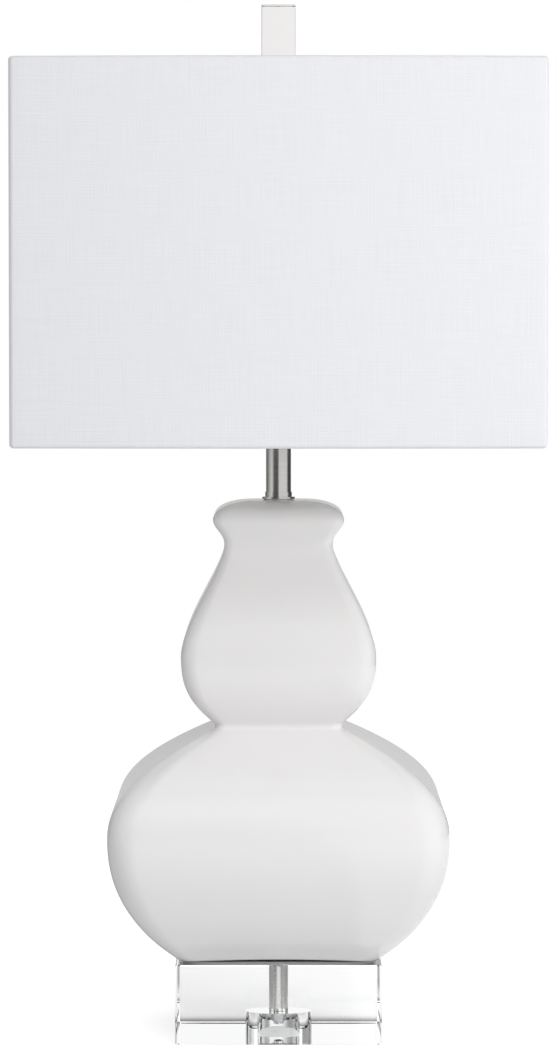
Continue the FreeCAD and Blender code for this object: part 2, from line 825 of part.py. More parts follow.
def make_linen():
    """One skin over the full height, turned over both ring wires and down inside them."""
    skin = shade_layer(0, linen_thickness, shade_bottom, shade_top)
    hems = []
    for edge_z, inward in ((shade_top, -1), (shade_bottom, 1)):
        hem_z = sorted((edge_z, edge_z + inward * hem_depth))
        roll = shade_layer(0, hem_inset, *hem_z)
        gap_z = sorted((edge_z + inward * linen_thickness, edge_z + inward * hem_depth))
        gap_width = hem_inset - 2 * linen_thickness
        hems.append(roll.cut(shade_layer(linen_thickness, gap_width, *gap_z)))
    linen = skin.fuse(hems).removeSplitter()
    half = spider_wire_diameter / 2 + hem_notch_clearance
    hem_face = shade_half - hem_inset
    notch = box(hem_face - cut_overrun, hem_face + linen_thickness + glue_line, -half, half,
                shade_top - hem_depth - cut_overrun, shade_top - linen_thickness)
    return linen.cut(around(notch))


def make_finial_base():
    boss = finial_boss_diameter / 2
    waist_r = finial_waist_diameter / 2
    cup = finial_cup_diameter / 2
    bore = stud_thread_diameter / 2 + slip_fit
    boss_top = finial_z + finial_boss_height
    cup_z = crystal_z - finial_cup_height
    waist_low = boss_top + finial_boss_taper
    waist_high = waist_low + finial_waist_height
    bore_top = fitter_z + stud_thread_length + loose_fit
    return turned([
        (bore, finial_z),
        (boss, finial_z),
        (boss, boss_top),
        (waist_r, waist_low),
        (waist_r, waist_high),
        (cup, cup_z),
        (cup, crystal_z),
        (0, crystal_z),
        (0, bore_top),
        (bore, bore_top),
    ])


def make_finial_crystal():
    half = finial_crystal_side / 2
    crystal = box(-half, half, -half, half, crystal_z, finial_z + finial_total)
    return crystal.makeChamfer(finial_crystal_chamfer, crystal.Edges)


gourd_body = make_gourd_body()
ferrule = make_ferrule()
terminal = terminal_screw()
nut_bore = pipe_diameter + 2 * thread_fit
lining_inset = linen_thickness + glue_line
lining_span = (shade_bottom + lining_inset, shade_top - lining_inset)

save("crystal_block", make_crystal_block())
save("block_rod_sleeve", ring(sleeve_diameter, pipe_clear_bore, recess_ceiling, foot_z))
save("bottom_rubber_washer",
     ring(washer_diameter, pipe_clear_bore, rubber_washer_bottom, recess_ceiling))
save("bottom_steel_washer",
     ring(washer_diameter, pipe_clear_bore, steel_washer_bottom, rubber_washer_bottom))
save("bottom_hex_nut", hex_nut(bottom_nut_bottom, nut_bore))
save("threaded_pipe", make_pipe())
save("seat_gasket", make_gasket())
save("gourd_body", gourd_body)
save("cord_grommet", make_grommet())
save("centring_washer", make_bush())
save("check_ring", ring(check_ring_diameter, pipe_clear_bore, check_ring_z, neck_bottom))
save("neck_tube", make_neck_tube())
save("harp_saddle", make_saddle())
save("saddle_lock_nut", hex_nut(saddle_nut_z, nut_bore))
save("harp_wire", make_harp())
save("ferrule_right", ferrule)
save("ferrule_left", mirrored(ferrule))
save("harp_swivel_stud", make_stud())
save("socket_cap", make_socket_cap())
save("cap_set_screw", make_set_screw())
save("socket_outer_shell", make_socket_tube(shell_diameter, shell_wall, socket_top))
save("socket_liner", make_socket_tube(liner_diameter, liner_wall, socket_top - liner_end_gap))
save("socket_core", make_socket_core())
save("screw_shell", make_screw_shell())
save("centre_contact", make_contact())
save("terminal_screws", terminal, mirrored(terminal))
save("switch_shaft", make_switch_shaft())
save("switch_knob", make_knob())
save("shade_top_frame", make_top_frame())
save("shade_bottom_ring", ring_wire(bottom_ring_z))
save("shade_lining", shade_layer(lining_inset, lining_thickness, *lining_span))
save("shade_linen", make_linen())
save("finial_base", make_finial_base())
save("finial_crystal", make_finial_crystal())
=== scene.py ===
import math

import bpy
import numpy as np
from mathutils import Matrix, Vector


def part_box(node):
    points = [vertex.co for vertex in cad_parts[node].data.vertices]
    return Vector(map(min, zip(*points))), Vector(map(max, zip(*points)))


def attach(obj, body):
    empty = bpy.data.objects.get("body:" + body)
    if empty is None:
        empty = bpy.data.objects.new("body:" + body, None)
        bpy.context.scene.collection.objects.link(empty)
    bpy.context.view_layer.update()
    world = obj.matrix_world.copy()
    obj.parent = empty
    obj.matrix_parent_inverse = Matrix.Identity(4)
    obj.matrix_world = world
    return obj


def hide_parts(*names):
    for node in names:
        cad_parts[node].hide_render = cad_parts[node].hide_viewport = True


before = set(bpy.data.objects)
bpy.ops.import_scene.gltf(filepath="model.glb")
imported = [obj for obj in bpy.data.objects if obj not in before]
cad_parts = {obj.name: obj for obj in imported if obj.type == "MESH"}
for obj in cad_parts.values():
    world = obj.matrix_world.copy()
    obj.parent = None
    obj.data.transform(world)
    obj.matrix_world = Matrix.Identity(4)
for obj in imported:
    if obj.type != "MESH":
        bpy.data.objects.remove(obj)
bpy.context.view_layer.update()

# The camera stands 2.85 m in front of the lamp, a little above its middle, and looks
# slightly down, so that the near edge of the shade hides the inside of the shade.
camera_distance = 2.85
camera_height = 0.4751
camera_pitch = math.radians(2.55)
focal_length_in_pixels = 4141
picture_height_in_pixels = 1051
camera_data = bpy.data.cameras.new("camera")
camera_data.sensor_width = 36
camera_data.lens = camera_data.sensor_width * focal_length_in_pixels / picture_height_in_pixels
camera_data.clip_start = 0.1
camera_data.clip_end = 50
camera = bpy.data.objects.new("camera", camera_data)
camera.location = (0, -camera_distance, camera_height)
camera.rotation_euler = (math.pi / 2 - camera_pitch, 0, 0)
bpy.context.collection.objects.link(camera)
bpy.context.scene.camera = camera
bpy.context.scene.view_settings.view_transform = "Standard"


# The studio: even light from all round and three large soft lamps, front and right. Glaze,
# metal and crystal see a ring of walls instead, bright front right, paler left, grey behind and
# dark between, under a white ceiling. Its places are degrees rightwards of the camera's side.
surround_level = 0.50
ceiling_level = 0.92
walls_end = 0.10
ceiling_start = 0.75
ring = [(-180, 0.60), (-156, 0.60), (-149, 0.08), (-138, 0.10), (-118, 0.33), (-98, 0.50),
        (-82, 0.86), (-60, 1.05), (-42, 0.12), (0.45, 0.12), (0.9, 1.08), (82, 1.08), (96, 0.08),
        (149, 0.08), (162, 0.32), (172, 0.60), (180, 0.60)]
crystal_gain = 1.45
crystal_floor = 0.10
lamps = {
    "lamp_right": {"place": (1.45, -1.35, 0.95), "size": (0.9, 1.2), "watts": 10.5},
    "lamp_front": {"place": (1.10, -2.40, 0.98), "size": (2.1, 1.24), "watts": 19.0},
    "lamp_high": {"place": (0.15, -1.50, 1.90), "size": (1.6, 1.0), "watts": 7.4},
}
lamp_target = Vector((0, 0, 0.33))


def node(tree, kind, values=None, **settings):
    """A new node of one kind, with some of its inputs and settings given."""
    made = tree.nodes.new(kind)
    for name, value in settings.items():
        setattr(made, name, value)
    for name, value in (values or {}).items():
        made.inputs[name].default_value = value
    return made


def link(tree, *rows):
    """Joins nodes. A row is a node, its output, the next node and that one's input."""
    for source, output, target, entry in rows:
        tree.links.new(source.outputs[output], target.inputs[entry])


def set_stops(ramp, places, levels):
    """Gives a colour ramp grey stops at these places, from 0 to 1, with these levels."""
    stops = ramp.color_ramp.elements
    while len(stops) < len(places):
        stops.new(0.5)
    for stop, place in zip(stops, places):
        stop.position = place
    for stop, level in zip(stops, levels):
        stop.color = (level, level, level, 1)


world = bpy.data.worlds.new("studio")
bpy.context.scene.world = world
world.use_nodes = True
tree = world.node_tree
tree.nodes.clear()
rays = node(tree, "ShaderNodeLightPath")
heading = node(tree, "ShaderNodeTexCoord")
parts = node(tree, "ShaderNodeSeparateXYZ")
toward_camera = node(tree, "ShaderNodeMath", {1: -1.0}, operation="MULTIPLY")
turn = node(tree, "ShaderNodeMath", operation="ARCTAN2")
share = node(tree, "ShaderNodeMapRange", {"From Min": -math.pi, "From Max": math.pi})
walls = node(tree, "ShaderNodeValToRGB")
set_stops(walls, [(degrees + 180) / 360 for degrees, level in ring],
          [level for degrees, level in ring])
upper = node(tree, "ShaderNodeMapRange", {"From Min": walls_end, "From Max": ceiling_start})
# Crystal sees this room brighter: each level times the gain, plus the floor.
through = node(tree, "ShaderNodeMath", {1: crystal_gain, 2: crystal_floor},
               operation="MULTIPLY_ADD")
walls_seen = node(tree, "ShaderNodeMix")
room = node(tree, "ShaderNodeMix", {"B": ceiling_level})
mirrored = node(tree, "ShaderNodeMath", operation="MAXIMUM")
lit = node(tree, "ShaderNodeMix", {"A": surround_level})
seen = node(tree, "ShaderNodeMix", {"B": 1.0})
background = node(tree, "ShaderNodeBackground", {"Color": (1, 1, 1, 1)})
end = node(tree, "ShaderNodeOutputWorld")
link(tree, (heading, "Generated", parts, 0),
     (parts, "Y", toward_camera, 0),
     (parts, "X", turn, 0),
     (toward_camera, 0, turn, 1),
     (turn, 0, share, "Value"),
     (share, "Result", walls, "Fac"),
     (parts, "Z", upper, "Value"),
     (upper, "Result", room, "Factor"),
     (walls, "Color", room, "A"),
     (rays, "Is Glossy Ray", mirrored, 0),
     (rays, "Is Transmission Ray", mirrored, 1),
     (mirrored, 0, lit, "Factor"),
     (room, "Result", through, 0),
     (rays, "Is Transmission Ray", walls_seen, "Factor"),
     (room, "Result", walls_seen, "A"),
     (through, 0, walls_seen, "B"),
     (walls_seen, "Result", lit, "B"),
     (rays, "Is Camera Ray", seen, "Factor"),
     (lit, "Result", seen, "A"),
     (seen, "Result", background, "Strength"),
     (background, 0, end, 0))

for name, lamp in lamps.items():
    data = bpy.data.lights.new(name, "AREA")
    data.shape = "RECTANGLE"
    data.size, data.size_y = lamp["size"]
    data.energy = lamp["watts"]
    holder = bpy.data.objects.new(name, data)
    holder.location = lamp["place"]
    toward = lamp_target - Vector(lamp["place"])
    holder.rotation_euler = toward.to_track_quat("-Z", "Y").to_euler()
    holder.visible_glossy = False
    holder.visible_transmission = False
    bpy.context.collection.objects.link(holder)


def new_material(name):
    """An empty material with a Principled shader: the material, its tree and the shader."""
    made = bpy.data.materials.new(name)
    made.use_nodes = True
    tree = made.node_tree
    tree.nodes.clear()
    shader = node(tree, "ShaderNodeBsdfPrincipled")
    end = node(tree, "ShaderNodeOutputMaterial")
    link(tree, (shader, 0, end, 0))
    return made, tree, shader


def grid_surface(name, points, finish, around=True, along=False, uv=None, keep=None):
    """A surface from an array of points, rows by columns, with four-sided faces between
    neighbouring points. Around joins the last column to the first, along the last row to
    the first. A closed shell whose signed volume is negative is turned right side out."""
    rows, columns = points.shape[:2]
    row = np.arange(rows if along else rows - 1)[:, None]
    column = np.arange(columns if around else columns - 1)[None, :]
    next_row, next_column = (row + 1) % rows, (column + 1) % columns
    corners = [row * columns + column, row * columns + next_column,
               next_row * columns + next_column, next_row * columns + column]
    faces = np.stack([np.broadcast_to(c, (row.size, column.size)) for c in corners], -1)
    faces = faces.reshape(-1, 4)
    flat = points.reshape(-1, 3)
    if keep is not None:
        faces = faces[keep(faces, flat)]
    a, b, c, d = (flat[faces[:, i]] for i in range(4))
    volume = np.einsum("ij,ij->i", a, np.cross(b, c) + np.cross(c, d)).sum()
    if volume < 0:
        faces = faces[:, ::-1]
    mesh = bpy.data.meshes.new(name)
    mesh.vertices.add(len(flat))
    mesh.vertices.foreach_set("co", flat.astype(np.float32).ravel())
    mesh.loops.add(faces.size)
    mesh.loops.foreach_set("vertex_index", faces.astype(np.int32).ravel())
    mesh.polygons.add(len(faces))
    mesh.polygons.foreach_set("loop_start", np.arange(0, faces.size, 4, dtype=np.int32))
    mesh.polygons.foreach_set("use_smooth", np.ones(len(faces), bool))
    if uv is not None:
        layer = mesh.uv_layers.new(name="cloth")
        layer.data.foreach_set("uv", uv.reshape(-1, 2)[faces.ravel()].astype(np.float32).ravel())
    mesh.update(calc_edges=True)
    mesh.validate()
    mesh.materials.append(finish)
    piece = bpy.data.objects.new(name, mesh)
    bpy.context.collection.objects.link(piece)
    return piece


# The table: matt white, and lifted to pure white for the camera, apart from the lamp's own
# shadow. Crystal sees it less bright, with a painted shadow near the block's edge, and darker
# off to the sides. Glaze and metal see it grey, with a white card on its right half.
table_camera_lift = 0.60
table_crystal_lift = 0.44
table_bounce_lift = 0.05
card_lift = 0.80
card_edge = 0.05
card_blend = 0.01
block_half = 0.06975
# Painted shadow: what crystal sees of the table darkens close round the block's edge.
painted_shadow_reach = 0.036
painted_shadow_depth = 0.85
side_near = 0.09
side_far = 0.16
side_depth = 0.60
table_colour = (0.92, 0.92, 0.92, 1)
table_mirrored_colour = (0.50, 0.50, 0.50, 1)
table_half = 1.5
table_gap = 0.0004
table_finish, tree, shader = new_material("table_white")
shader.inputs["Roughness"].default_value = 0.9
shader.inputs["Specular IOR Level"].default_value = 0.0
shader.inputs["Emission Color"].default_value = (1, 1, 1, 1)
rays = node(tree, "ShaderNodeLightPath")
place = node(tree, "ShaderNodeTexCoord")
spot = node(tree, "ShaderNodeSeparateXYZ")
from_side = node(tree, "ShaderNodeMath", operation="ABSOLUTE")
from_front = node(tree, "ShaderNodeMath", operation="ABSOLUTE")
away = node(tree, "ShaderNodeMath", operation="MAXIMUM")
past_block = node(tree, "ShaderNodeMath", {1: block_half}, operation="SUBTRACT")
from_edge = node(tree, "ShaderNodeMath", operation="ABSOLUTE")
# The painted contact shadow, deepest at the block's edge and gone by its reach.
painted_contact_shadow = node(tree, "ShaderNodeMapRange", {"From Max": painted_shadow_reach, "To Min": painted_shadow_depth,
                                            "To Max": 0.0}, interpolation_type="SMOOTHSTEP")
beside = node(tree, "ShaderNodeMapRange", {"From Min": side_near, "From Max": side_far,
                                           "To Max": side_depth})
dark_share = node(tree, "ShaderNodeMath", operation="MAXIMUM")
shade_seen = node(tree, "ShaderNodeMath", operation="MULTIPLY")
clear_share = node(tree, "ShaderNodeMath", {0: 1.0}, operation="SUBTRACT")
crystal_lift = node(tree, "ShaderNodeMath", {1: table_crystal_lift}, operation="MULTIPLY")
card = node(tree, "ShaderNodeMapRange", {"From Min": card_edge, "From Max": card_edge + card_blend,
                                         "To Max": card_lift})
card_lifted = node(tree, "ShaderNodeMath", operation="MULTIPLY_ADD")
bounce = node(tree, "ShaderNodeMath", {1: table_bounce_lift}, operation="MULTIPLY_ADD")
lift = node(tree, "ShaderNodeMath", {1: table_camera_lift}, operation="MULTIPLY_ADD")
lift_left = node(tree, "ShaderNodeMath", operation="MULTIPLY")
mirror_only = node(tree, "ShaderNodeMath", operation="GREATER_THAN")
tone = node(tree, "ShaderNodeMix", data_type="RGBA")
tone.inputs["A"].default_value = table_colour
tone.inputs["B"].default_value = table_mirrored_colour
# Where crystal looks, the painted shadow and the darkening to the sides turn it towards black.
darker = node(tree, "ShaderNodeMix", data_type="RGBA", blend_type="MULTIPLY")
darker.inputs["B"].default_value = (0, 0, 0, 1)
link(tree, (place, "Object", spot, 0),
     (spot, "X", from_side, 0),
     (spot, "Y", from_front, 0),
     (from_side, 0, away, 0),
     (from_front, 0, away, 1),
     (away, 0, past_block, 0),
     (past_block, 0, from_edge, 0),
     (from_edge, 0, painted_contact_shadow, "Value"),
     (from_side, 0, beside, "Value"),
     (painted_contact_shadow, "Result", dark_share, 0),
     (beside, "Result", dark_share, 1),
     (dark_share, 0, shade_seen, 0),
     (rays, "Is Transmission Ray", shade_seen, 1),
     (shade_seen, 0, clear_share, 1),
     (rays, "Is Transmission Ray", crystal_lift, 0),
     (rays, "Is Diffuse Ray", bounce, 0),
     (spot, "X", card, "Value"),
     (card, "Result", card_lifted, 0),
     (mirror_only, 0, card_lifted, 1),
     (crystal_lift, 0, card_lifted, 2),
     (card_lifted, 0, bounce, 2),
     (rays, "Is Camera Ray", lift, 0),
     (bounce, 0, lift, 2),
     (lift, 0, lift_left, 0),
     (clear_share, 0, lift_left, 1),
     (lift_left, 0, shader, "Emission Strength"),
     (rays, "Is Glossy Ray", mirror_only, 0),
     (rays, "Is Transmission Ray", mirror_only, 1),
     (mirror_only, 0, tone, "Factor"),
     (tone, "Result", darker, "A"),
     (shade_seen, 0, darker, "Factor"),
     (darker, "Result", shader, "Base Color"))
span = np.array([-table_half, table_half])
corner_x, corner_y = np.meshgrid(span, span)
table_points = np.stack([corner_x, corner_y, np.full((2, 2), -table_gap)], -1)
table = grid_surface("table", table_points, table_finish, around=False)


# The gourd body: hollow glazed ceramic, slip cast as a double gourd that is square in plan
# with round corners. Its foot arches up a little between them, and both ends have a hole for
# the rod. A half is half a width, and a fullness is the length of a curve's handle.
mm = 0.001
foot_z = 55.5
foot_half = 67.7
foot_flare = 51.2
foot_fullness = 52.0
foot_edge_setback = 2.2
belly_half = 114.6
belly_above_foot = 85.8
belly_fullness_below = 19.4
belly_fullness_above = 18.0
shoulder_lean = 64.1
shoulder_fullness = 72.5
crease_half = 41.1
crease_above_belly = 71.5
crease_setback = 5.0
bulb_flare = 48.5
bulb_fullness_below = 24.7
bulb_half = 66.1
bulb_above_crease = 49.0
bulb_fullness_to_crease = 16.6
bulb_fullness_above = 22.3
neck_half = 36.9
neck_above_bulb = 75.2
neck_fullness_below = 15.2
neck_fullness_above = 7.1
lip_half = 44.6
lip_above_neck = 16.6
lip_fullness_below = 5.8
lip_fullness_above = 7.8
land_half = 16.0
land_above_lip = 12.6
land_fullness = 16.0
gourd_wall = 5.5
corner_share = 0.18
top_hole_radius = 8.0
foot_hole_radius = 5.5
hole_edge = 0.5
round_until = 9
square_from = 16
# Painted light and shade: the glaze is made lighter or darker by height, between these colours.
glaze_shaded_colour = (0.745, 0.735, 0.735, 1)
glaze_lit_colour = (0.855, 0.845, 0.845, 1)
painted_light_by_height = [(55, 1.0), (66, 0.90), (82, 0.46), (110, 0.12), (150, 0.32), (178, 0.68),
               (205, 0.96), (217, 0.60), (232, 0.34), (262, 0.16), (300, 0.46), (332, 0.68),
               (350, 0.50)]
foot_arch = 1.7
arch_heights = np.array([4, 16])
arch_halves = [45, 60]
arch_rows = 40


def handle(lean, length):
    """A handle that leans out from upright by so many degrees."""
    return length * np.array([math.sin(math.radians(lean)), math.cos(math.radians(lean))])


def span_points(start, start_handle, end_handle, end, rows):
    """Points along a cubic curve that leaves start along its handle and meets end along
    the other: the four poles weighted by (1-t)^3, 3t(1-t)^2, 3t^2(1-t) and t^3."""
    start, end = np.array(start, float), np.array(end, float)
    t = np.linspace(0, 1, rows + 1)[:, None]
    poles = (start, start + start_handle, end - end_handle, end)
    weights = ((1 - t) ** 3, 3 * t * (1 - t) ** 2, 3 * t * t * (1 - t), t ** 3)
    return sum(weight * pole for weight, pole in zip(weights, poles))


def eased_corner(corner, lean_in, lean_out, setback, ease=0.6, rows=5):
    """A short curve that rounds the corner between two leaning lines."""
    before = corner - handle(lean_in, setback)
    after = corner + handle(lean_out, setback)
    pull = ease * setback
    return span_points(before, handle(lean_in, pull), handle(lean_out, pull), after, rows)


foot = np.array([foot_half, foot_z])
belly = np.array([belly_half, foot[1] + belly_above_foot])
crease = np.array([crease_half, belly[1] + crease_above_belly])
bulb = np.array([bulb_half, crease[1] + bulb_above_crease])
neck = np.array([neck_half, bulb[1] + neck_above_bulb])
lip = np.array([lip_half, neck[1] + lip_above_neck])
land = np.array([land_half, lip[1] + land_above_lip])
gourd_top = land[1]
foot_edge = eased_corner(foot, 90, foot_flare, foot_edge_setback)
valley = eased_corner(crease, -shoulder_lean, bulb_flare, crease_setback, rows=10)
# Each curve is its start and handle, the handle and point of its end, and its rows.
curves = [
    (foot_edge[-1], handle(foot_flare, foot_fullness), handle(0, belly_fullness_below), belly, 26),
    (belly, handle(0, belly_fullness_above), handle(-shoulder_lean, shoulder_fullness),
     valley[0], 30),
    (valley[-1], handle(bulb_flare, bulb_fullness_below), handle(0, bulb_fullness_to_crease),
     bulb, 16),
    (bulb, handle(0, bulb_fullness_above), handle(0, neck_fullness_below), neck, 22),
    (neck, handle(0, neck_fullness_above), handle(0, lip_fullness_below), lip, 10),
    (lip, handle(0, lip_fullness_above), handle(-90, land_fullness), land, 18),
]
spans = [span_points(*curve)[1:] for curve in curves]
outside = np.concatenate([foot_edge, *spans[:2], valley[1:], *spans[2:]])
# The inner wall lies one wall's thickness inside the outer one, with half as many rows, and
# ends at the flat floor and ceiling.
along_wall = np.gradient(outside, axis=0)
along_wall /= np.linalg.norm(along_wall, axis=1)[:, None]
inside = outside + gourd_wall * np.stack([-along_wall[:, 1], along_wall[:, 0]], -1)
low_inside, high_inside = foot_z + gourd_wall, gourd_top - gourd_wall
ceiling_half = 20
inside = inside[(inside[:, 0] > ceiling_half) & (inside[:, 1] > low_inside)]
inside = inside[inside[:, 1] < high_inside][::-2]
underside = np.array([[foot_hole_radius, foot_z + hole_edge],
                      [foot_hole_radius + hole_edge, foot_z],
                      [14, foot_z], [30, foot_z], [50, foot_z], [64, foot_z]])
crown_edge = np.array([[12, gourd_top], [top_hole_radius + 0.6, gourd_top],
                       [top_hole_radius + 0.15, gourd_top - 0.2],
                       [top_hole_radius, gourd_top - 0.7],
                       [top_hole_radius, high_inside + hole_edge]])
ceiling = np.array([[top_hole_radius + 0.3, high_inside], [13, high_inside], [19, high_inside]])
floor_inside = np.array([[55, low_inside], [30, low_inside], [12, low_inside],
                         [foot_hole_radius + hole_edge, low_inside],
                         [foot_hole_radius, low_inside - hole_edge]])
profile = np.concatenate([underside, outside, crown_edge, ceiling, inside, floor_inside])


def from_side_middle(turns):
    """The angle between each turn and the middle of the square's nearest side."""
    return np.abs((turns + math.pi / 4) % (math.pi / 2) - math.pi / 4)


def rounded_square(half, share, turns):
    """Distance from the axis to a square with round corners, at each turn. On a side it is
    half / cos of the turn from the side's middle; in a corner it is the root of the
    corner circle's equation. A share of 1 makes the whole outline a circle."""
    bend = from_side_middle(turns)
    flat = 1 - share
    both = np.cos(bend) + np.sin(bend)
    root = flat ** 2 * (2 * np.cos(bend) * np.sin(bend) - 1) + share ** 2
    round_part = flat * both + np.sqrt(np.maximum(root, 0))
    on_side = np.tan(bend) <= flat
    return half * np.where(on_side, 1 / np.cos(bend), round_part)


def square_turns(share, side_points, corner_points):
    """Turns round the axis, close together where the corners bend."""
    flat = 1 - share
    side = np.linspace(0, flat, side_points, endpoint=False)
    arc = np.linspace(0, math.pi / 2, corner_points)
    x = np.concatenate([np.ones(side_points), flat + share * np.cos(arc), side[:0:-1]])
    y = np.concatenate([side, flat + share * np.sin(arc), np.ones(side_points - 1)])
    quarter = np.arctan2(y, x)
    return np.concatenate([quarter + k * math.pi / 2 for k in range(4)])


turns = square_turns(corner_share, 10, 17)
roundness = np.interp(profile[:, 0], [round_until, square_from], [1, corner_share])
reach = rounded_square(profile[:, :1], roundness[:, None], turns[None, :])
off_middle = np.tan(from_side_middle(turns))
near_foot = np.interp(profile[:, 1], foot_z + arch_heights, [1, 0])
near_foot *= np.interp(profile[:, 0], arch_halves, [0, 1])
near_foot *= np.arange(len(profile)) < len(underside) + arch_rows
arch = foot_arch * near_foot[:, None] * (1 - off_middle[None, :] ** 2)
gourd_points = mm * np.stack([reach * np.cos(turns), reach * np.sin(turns),
                              profile[:, 1:] + arch], -1)

glaze, tree, shader = new_material("white_glaze")
place = node(tree, "ShaderNodeTexCoord")
height = node(tree, "ShaderNodeSeparateXYZ")
level = node(tree, "ShaderNodeMapRange", {"From Min": mm * foot_z, "From Max": mm * gourd_top})
# Painted light and shade by height, with a random mottle from the clouds added on top.
painted_light_ramp = node(tree, "ShaderNodeValToRGB")
set_stops(painted_light_ramp, [(z - foot_z) / (gourd_top - foot_z) for z, share in painted_light_by_height],
          [share for z, share in painted_light_by_height])
painted_light_ramp.color_ramp.interpolation = "EASE"
clouds = node(tree, "ShaderNodeTexNoise", {"Scale": 14.0, "Detail": 3.0, "Roughness": 0.55})
ripple = node(tree, "ShaderNodeTexNoise", {"Scale": 260.0, "Detail": 2.0})
specks = node(tree, "ShaderNodeTexVoronoi", {"Scale": 330.0})
speck_size = node(tree, "ShaderNodeMapRange", {"From Min": 0.0, "From Max": 0.09,
                                               "To Min": 0.35, "To Max": 0.0})
tint = node(tree, "ShaderNodeMix", data_type="RGBA")
tint.inputs["A"].default_value = glaze_shaded_colour
tint.inputs["B"].default_value = glaze_lit_colour
spread = node(tree, "ShaderNodeMapRange", {"From Min": 0.25, "From Max": 0.75,
                                           "To Min": -0.06, "To Max": 0.06})
painted_light_and_mottle = node(tree, "ShaderNodeMath", operation="ADD")
sheen_range = node(tree, "ShaderNodeMapRange", {"To Min": 0.03, "To Max": 0.07})
bump = node(tree, "ShaderNodeBump", {"Strength": 0.03, "Distance": 0.0004})
total = node(tree, "ShaderNodeMath", operation="SUBTRACT")
for texture in (clouds, ripple, specks):
    link(tree, (place, "Object", texture, "Vector"))
link(tree, (place, "Object", height, 0),
     (height, "Z", level, "Value"),
     (level, "Result", painted_light_ramp, "Fac"),
     (clouds, "Fac", spread, "Value"),
     (painted_light_ramp, "Color", painted_light_and_mottle, 0),
     (spread, "Result", painted_light_and_mottle, 1),
     (painted_light_and_mottle, 0, tint, "Factor"),
     (tint, "Result", shader, "Base Color"),
     (clouds, "Fac", sheen_range, "Value"),
     (sheen_range, "Result", shader, "Roughness"),
     (specks, "Distance", speck_size, "Value"),
     (ripple, "Fac", total, 0),
     (speck_size, "Result", total, 1),
     (total, 0, bump, "Height"),
     (bump, "Normal", shader, "Normal"))
shader.inputs["IOR"].default_value = 1.5

gourd = grid_surface("gourd", gourd_points, glaze, along=True)

# The cord outlet is drilled square to the leaning wall, low in the back.
outlet_point = mm * np.array([0, 100.694, 91.411])
outlet_axis = np.array([0, 0.854273, -0.519824])
outlet_radius = 5.8 * mm
outlet_reach = 14 * mm
outlet_turns = np.linspace(0, 2 * math.pi, 48, endpoint=False)
sideways = np.array([1.0, 0, 0])
upwards = np.cross(outlet_axis, sideways)
rim = (np.cos(outlet_turns)[:, None] * sideways + np.sin(outlet_turns)[:, None] * upwards)
drill_rows = [(0, -outlet_reach), (outlet_radius, -outlet_reach),
              (outlet_radius, outlet_reach), (0, outlet_reach)]
drill_points = np.stack([outlet_point + outlet_axis * along + rim * radius
                         for radius, along in drill_rows])
drill = grid_surface("drill", drill_points, glaze)
hole = gourd.modifiers.new("hole", "BOOLEAN")
hole.operation = "DIFFERENCE"
hole.solver = "EXACT"
hole.object = drill
bpy.context.view_layer.update()
evaluated = gourd.evaluated_get(bpy.context.evaluated_depsgraph_get())
drilled = bpy.data.meshes.new_from_object(evaluated)
gourd.modifiers.clear()
gourd.data = drilled
bpy.data.objects.remove(drill)
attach(gourd, "lamp_base")
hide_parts("gourd_body")


# The crystal block: optical glass, ground flat and polished, with small chamfers. It is
# drilled for the rod and hollowed below for the nut.
def crystal(name, colour, clearest, haziest):
    """Optical glass with a faint haze where hands have been: its roughness goes from
    clearest to haziest in soft patches."""
    made, tree, shader = new_material(name)
    place = node(tree, "ShaderNodeTexCoord")
    haze = node(tree, "ShaderNodeTexNoise", {"Scale": 22.0, "Detail": 4.0})
    haze_range = node(tree, "ShaderNodeMapRange", {"From Min": 0.5, "From Max": 0.8,
                                                   "To Min": clearest, "To Max": haziest})
    link(tree, (place, "Object", haze, "Vector"),
         (haze, "Fac", haze_range, "Value"),
         (haze_range, "Result", shader, "Roughness"))
    shader.inputs["Base Color"].default_value = colour
    shader.inputs["Transmission Weight"].default_value = 1.0
    shader.inputs["IOR"].default_value = 1.517
    return made


def dress(nodes, finish):
    """The given CAD nodes get this finish in place of their plain one."""
    for name in nodes:
        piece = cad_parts[name]
        for slot in piece.material_slots:
            slot.material = finish


block_glass = crystal("clear_crystal", (0.975, 0.98, 0.98, 1), clearest=0.0, haziest=0.02)
dress(["crystal_block"], block_glass)


# The finial's crystal: a small upright block with crisp bevelled edges, glued on its base.
# Each ring of the grid is the square, or the square less the bevel, with its corners cut off.
finial_low, finial_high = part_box("finial_crystal")
finial_bevel = 0.3 * mm
glue_line = 0.08 * mm
finial_half = finial_high[0]
finial_inner = finial_half - finial_bevel
finial_corner = finial_inner - finial_bevel
finial_bottom, finial_top = finial_low[2] + glue_line, finial_high[2]
finial_sharp = math.radians(20)
finial_glass = crystal("finial_crystal", (0.935, 0.922, 0.918, 1), clearest=0.0, haziest=0.02)


def cut_square(half, corner):
    """The eight corners of a square whose corners are cut off, from +X round by +Y."""
    ends = [(half, -corner), (half, corner), (corner, half), (-corner, half),
            (-half, corner), (-half, -corner), (-corner, -half), (corner, -half)]
    return np.array(ends, float)


finial_rows = [(0, 0, finial_bottom),
               (finial_inner, finial_corner, finial_bottom),
               (finial_half, finial_inner, finial_bottom + finial_bevel),
               (finial_half, finial_inner, finial_top - finial_bevel),
               (finial_inner, finial_corner, finial_top),
               (0, 0, finial_top)]
finial_points = np.stack([np.column_stack([cut_square(half, corner), np.full(8, z)])
                          for half, corner, z in finial_rows])
finial = grid_surface("finial_block", finial_points, finial_glass)
finial.data.set_sharp_from_angle(angle=finial_sharp)
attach(finial, "finial")
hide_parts("finial_crystal")


